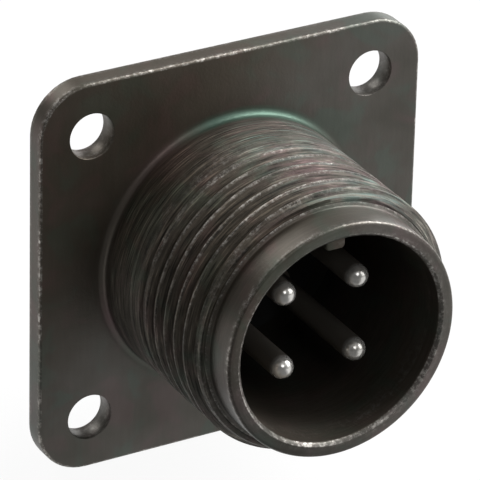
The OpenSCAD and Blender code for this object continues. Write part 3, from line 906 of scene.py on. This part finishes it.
def makeContact():
    c = contact
    bm = bmesh.new()
    bm.verts.layers.float.new("wear")
    tipStart = c["tip"] - c["pinRadius"]
    profile = [(forward, radius) for forward, radius in
               arcPoints(tipStart, 0.0, c["pinRadius"], 2, 90, 14)]
    profile += [(tipStart - (tipStart - c["stemFront"]) * k / 10, c["pinRadius"])
                for k in range(1, 11)]
    edge, collar = c["collarEdge"], c["collarRadius"]
    front, rear = c["collarFront"], c["collarRear"]
    profile += [(c["stemFront"], c["stemRadius"]), (front, c["stemRadius"]),
                (front, collar - edge), (front - edge, collar), (rear + edge, collar),
                (rear, collar - edge), (rear, c["shankRadius"])]
    edge, cup, front, end = c["cupEdge"], c["cupRadius"], c["cupFront"], c["cupEnd"]
    profile += [(front + 0.02, c["shankRadius"]), (front, c["shankRadius"] + 0.02),
                (front, cup - edge), (front - edge, cup)]
    profile += [(front - (front - end) * k / 8, cup) for k in range(1, 8)]
    edge, hole, deep = c["lipEdge"], c["cupBore"], c["cupDepth"]
    profile += [(end + edge, cup), (end, cup - edge), (end, hole + edge), (end + edge, hole)]
    profile += [(end + deep * k / 6, hole) for k in range(1, 7)]
    profile += [(end + deep + c["cupCone"], 0.05)]
    first = addLoop(bm, circlePoints(profile[0][1], c["segments"]), profile[0][0])
    bm.faces.new(first)
    last = turnProfile(bm, [(f, r, 0.0) for f, r in profile[1:]], c["segments"], first)
    bm.faces.new(last)
    bmesh.ops.recalc_face_normals(bm, faces=bm.faces)
    blank = addObject("contactBlank", meshFrom("contactBlank", bm))

    # cutter for the scooped side of the solder cup, an outline drawn in x and forward
    scoop = c["cupRadius"]
    level = c["cupEnd"] + c["mouth"] - scoop
    outline = [(c["lip"], c["cupEnd"] - 1), (c["lip"], level)]
    outline += [(c["lip"] + scoop - scoop * math.cos(math.radians(a)),
                 level + scoop * math.sin(math.radians(a))) for a in range(6, 91, 6)]
    outline += [(c["lip"] + 2 * scoop, level + scoop), (c["lip"] + 2 * scoop, c["cupEnd"] - 1)]
    bm = bmesh.new()
    sides = [[bm.verts.new((x, -forward, z)) for x, forward in outline] for z in (-2, 2)]
    joinLoops(bm, sides[0], sides[1])
    bm.faces.new(sides[0])
    bm.faces.new(sides[1])
    bmesh.ops.recalc_face_normals(bm, faces=bm.faces)
    cutter = addObject("cupCutter", meshFrom("cupCutter", bm))
    boolean = blank.modifiers.new("scoop", "BOOLEAN")
    boolean.operation, boolean.object, boolean.solver = "DIFFERENCE", cutter, "EXACT"
    bevel = blank.modifiers.new("break", "BEVEL")
    bevel.width, bevel.segments, bevel.angle_limit = c["breakEdge"], 2, math.radians(60)
    finished = evaluatedMesh(blank)
    blank.modifiers.clear()
    blank.data = finished
    bpy.data.objects.remove(cutter)
    return blank


def makeContactTree():
    tree = bpy.data.node_groups.new("contactPattern", "GeometryNodeTree")
    given = addSockets(tree, [("contact", "Object"), ("pitch", "Float"), ("silver", "Material")])
    square = addNode(tree, "GeometryNodeMeshGrid", {"Size X": given["pitch"],
                                                    "Size Y": given["pitch"],
                                                    "Vertices X": 2, "Vertices Y": 2})
    upright = addNode(tree, "GeometryNodeTransform", {"Geometry": square,
                                                      "Rotation": (math.pi / 2, 0.0, 0.0)})
    points = addNode(tree, "GeometryNodeMeshToPoints", {"Mesh": upright})
    place = addNode(tree, "ShaderNodeSeparateXYZ", {0: addNode(tree, "GeometryNodeInputPosition")})
    onLeft = addNode(tree, "ShaderNodeMath", {0: place.outputs[0], 1: 0.0}, operation="LESS_THAN")
    spin = addNode(tree, "ShaderNodeMath", {0: onLeft, 1: math.pi}, operation="MULTIPLY")
    turn = addNode(tree, "ShaderNodeCombineXYZ", {1: spin})
    source = addNode(tree, "GeometryNodeObjectInfo", {"Object": given["contact"]})
    placed = addNode(tree, "GeometryNodeInstanceOnPoints", {
        "Points": points, "Instance": source.outputs["Geometry"], "Rotation": turn})
    real = addNode(tree, "GeometryNodeRealizeInstances", {0: placed})
    coated = addNode(tree, "GeometryNodeSetMaterial", {"Geometry": real,
                                                       "Material": given["silver"]})
    addNode(tree, "NodeGroupOutput", {0: coated})
    return tree


def makeContacts():
    blank = makeContact()
    mesh = growNodes("contactPattern", makeContactTree(), {
        "contact": blank, "pitch": contact["pitch"], "silver": silver})
    bpy.data.objects.remove(blank)
    bm = bmesh.new()
    bm.from_mesh(mesh)
    bpy.data.meshes.remove(mesh)
    piece = finishPiece("silverContacts", bm, silver)
    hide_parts("contact_1", "contact_2", "contact_3", "contact_4")


makeContacts()

for name, material in (("front_insert", shadedFrontMoulding), ("rear_insert", rearMoulding),
                       ("retaining_ring", springSteel)):
    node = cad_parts[name]
    node.data.materials.clear()
    node.data.materials.append(material)
print("inserts and ring: coated")


# Floor, backdrop, light and camera

dimSide = (-0.496, -0.868, 0.0)  # level direction to the dim end of the studio


# Two sockets: 1 for camera rays, and 1 for rays that come by way of metal or glass.
def rayKinds(tree):
    path = addNode(tree, "ShaderNodeLightPath")
    mirrored = addNode(tree, "ShaderNodeMath", {0: path.outputs["Is Glossy Ray"],
                                                1: path.outputs["Is Transmission Ray"]},
                       operation="MAXIMUM")
    return path.outputs["Is Camera Ray"], mirrored


def makeFloor():
    material, tree = newMaterial("paleStudioFloor")
    inView, inGloss = rayKinds(tree)
    # white where the camera looks, with the part's own faint shadow left in
    glow = addNode(tree, "ShaderNodeEmission", {"Color": (1, 1, 1, 1), "Strength": 0.94})
    faint = addNode(tree, "ShaderNodeBsdfDiffuse", {"Color": linearColour("#4a4a4a")})
    seen = addNode(tree, "ShaderNodeAddShader", {0: glow, 1: faint})
    # in reflections the sweep is bright, and dim only towards its dim end
    coordinates = addNode(tree, "ShaderNodeTexCoord")
    towards = addNode(tree, "ShaderNodeVectorMath", {0: coordinates.outputs["Object"],
                                                     1: dimSide}, operation="DOT_PRODUCT")
    flatPlace = addNode(tree, "ShaderNodeVectorMath", {0: coordinates.outputs["Object"],
                                                       1: (1.0, 1.0, 0.0)}, operation="MULTIPLY")
    distance = addNode(tree, "ShaderNodeVectorMath", {0: flatPlace}, operation="LENGTH")
    share = addNode(tree, "ShaderNodeMath", {0: towards.outputs["Value"],
                                             1: distance.outputs["Value"]}, operation="DIVIDE")
    inShade = addNode(tree, "ShaderNodeMapRange", {0: share, 1: 0.6, 2: 0.85},
                      interpolation_type="SMOOTHSTEP")
    farEnough = addNode(tree, "ShaderNodeMapRange", {0: distance.outputs["Value"], 1: 0.01,
                                                     2: 0.025}, interpolation_type="SMOOTHSTEP")
    dim = addNode(tree, "ShaderNodeMath", {0: inShade, 1: farEnough}, operation="MULTIPLY")
    fall = addNode(tree, "ShaderNodeMapRange", {0: dim, 3: 0.85, 4: 0.15})
    mirrored = addNode(tree, "ShaderNodeEmission", {"Color": (1, 1, 1, 1), "Strength": fall})
    lit = addNode(tree, "ShaderNodeBsdfDiffuse", {"Color": linearColour("#6c6c6c")})
    unseen = addNode(tree, "ShaderNodeMixShader", {0: inGloss, 1: lit, 2: mirrored})
    chosen = addNode(tree, "ShaderNodeMixShader", {0: inView, 1: unseen, 2: seen})
    addNode(tree, "ShaderNodeOutputMaterial", {"Surface": chosen})
    mesh = bpy.data.meshes.new("floor")
    level = cadBox[0][2] - 0.00002  # just under the flange's lower edge
    half = 1.0  # metres
    mesh.from_pydata([(-half, -half, level), (half, -half, level), (half, half, level),
                      (-half, half, level)], [], [(0, 1, 2, 3)])
    mesh.materials.append(material)
    floor = addObject("floor", mesh)


# Square softboxes that face the part: place and side in metres, and radiance
softboxes = {
    "softboxRight": ((0.40, -0.29, 0.24), 0.34, 2.2),
    "softboxFront": ((-0.10, -0.42, 0.30), 0.16, 3.0),
    "softboxTop": ((0.39, 0.0, 0.35), 0.4, 8.6),
    "softboxBack": ((-0.11, 0.46, 0.37), 0.31, 3.2),
    "softboxBackRight": ((0.38, 0.46, 0.06), 0.22, 1.6),
}
softboxTarget = (0.0, -0.005, 0.0)


def makeLights():
    for name, (place, size, radiance) in softboxes.items():
        data = bpy.data.lights.new(name, "AREA")
        data.shape, data.size = "SQUARE", size
        data.energy = radiance * math.pi * size ** 2
        light = addObject(name, data)
        light.location = place
        aim = Vector(softboxTarget) - Vector(place)
        light.rotation_euler = aim.to_track_quat("-Z", "Y").to_euler()


def makeWorld():
    world = bpy.data.worlds.new("studio")
    bpy.context.scene.world = world
    world.use_nodes = True
    tree = world.node_tree
    tree.nodes.clear()
    inView, inGloss = rayKinds(tree)
    # the studio is bright all round and above the part, and dim at its front left
    coordinates = addNode(tree, "ShaderNodeTexCoord")
    towards = addNode(tree, "ShaderNodeVectorMath", {0: coordinates.outputs["Generated"],
                                                     1: dimSide}, operation="DOT_PRODUCT")
    behind = addNode(tree, "ShaderNodeMapRange", {0: towards.outputs["Value"], 1: 0.5, 2: 0.86,
                                                  3: 0.32, 4: 0.09},
                     interpolation_type="SMOOTHSTEP")
    unseen = addNode(tree, "ShaderNodeMix", {0: inGloss, 2: 0.04, 3: behind})
    strength = addNode(tree, "ShaderNodeMix", {0: inView, 2: unseen, 3: 1.0})
    background = addNode(tree, "ShaderNodeBackground", {0: (1, 1, 1, 1), 1: strength})
    addNode(tree, "ShaderNodeOutputWorld", {0: background})


# Camera: place and lens in millimetres, and its turn in degrees
cameraPlace = (-140.528, -246.183, 149.23)
cameraTurn = {"azimuth": -30.01, "elevation": 27.815, "roll": 1.454}
cameraLens = 363.71


def makeCamera():
    azimuth, elevation, roll = (math.radians(turn) for turn in cameraTurn.values())
    back = Vector((math.sin(azimuth) * math.cos(elevation),
                   -math.cos(azimuth) * math.cos(elevation), math.sin(elevation)))
    right = (-back).cross(Vector((0, 0, 1))).normalized()
    up = back.cross(right)
    rolledRight = right * math.cos(roll) + up * math.sin(roll)
    rolledUp = up * math.cos(roll) - right * math.sin(roll)
    turn = Matrix((rolledRight, rolledUp, back)).transposed()
    data = bpy.data.cameras.new("camera")
    data.lens, data.sensor_width = cameraLens, 36.0
    data.clip_start, data.clip_end = 0.01, 10.0
    camera = addObject("camera", data)
    camera.matrix_world = Matrix.Translation(Vector(cameraPlace) * mm) @ turn.to_4x4()
    bpy.context.scene.camera = camera


makeFloor()
makeWorld()
makeLights()
makeCamera()
bpy.context.scene.view_settings.view_transform = "Standard"
print("stage: floor, lights and camera ready")
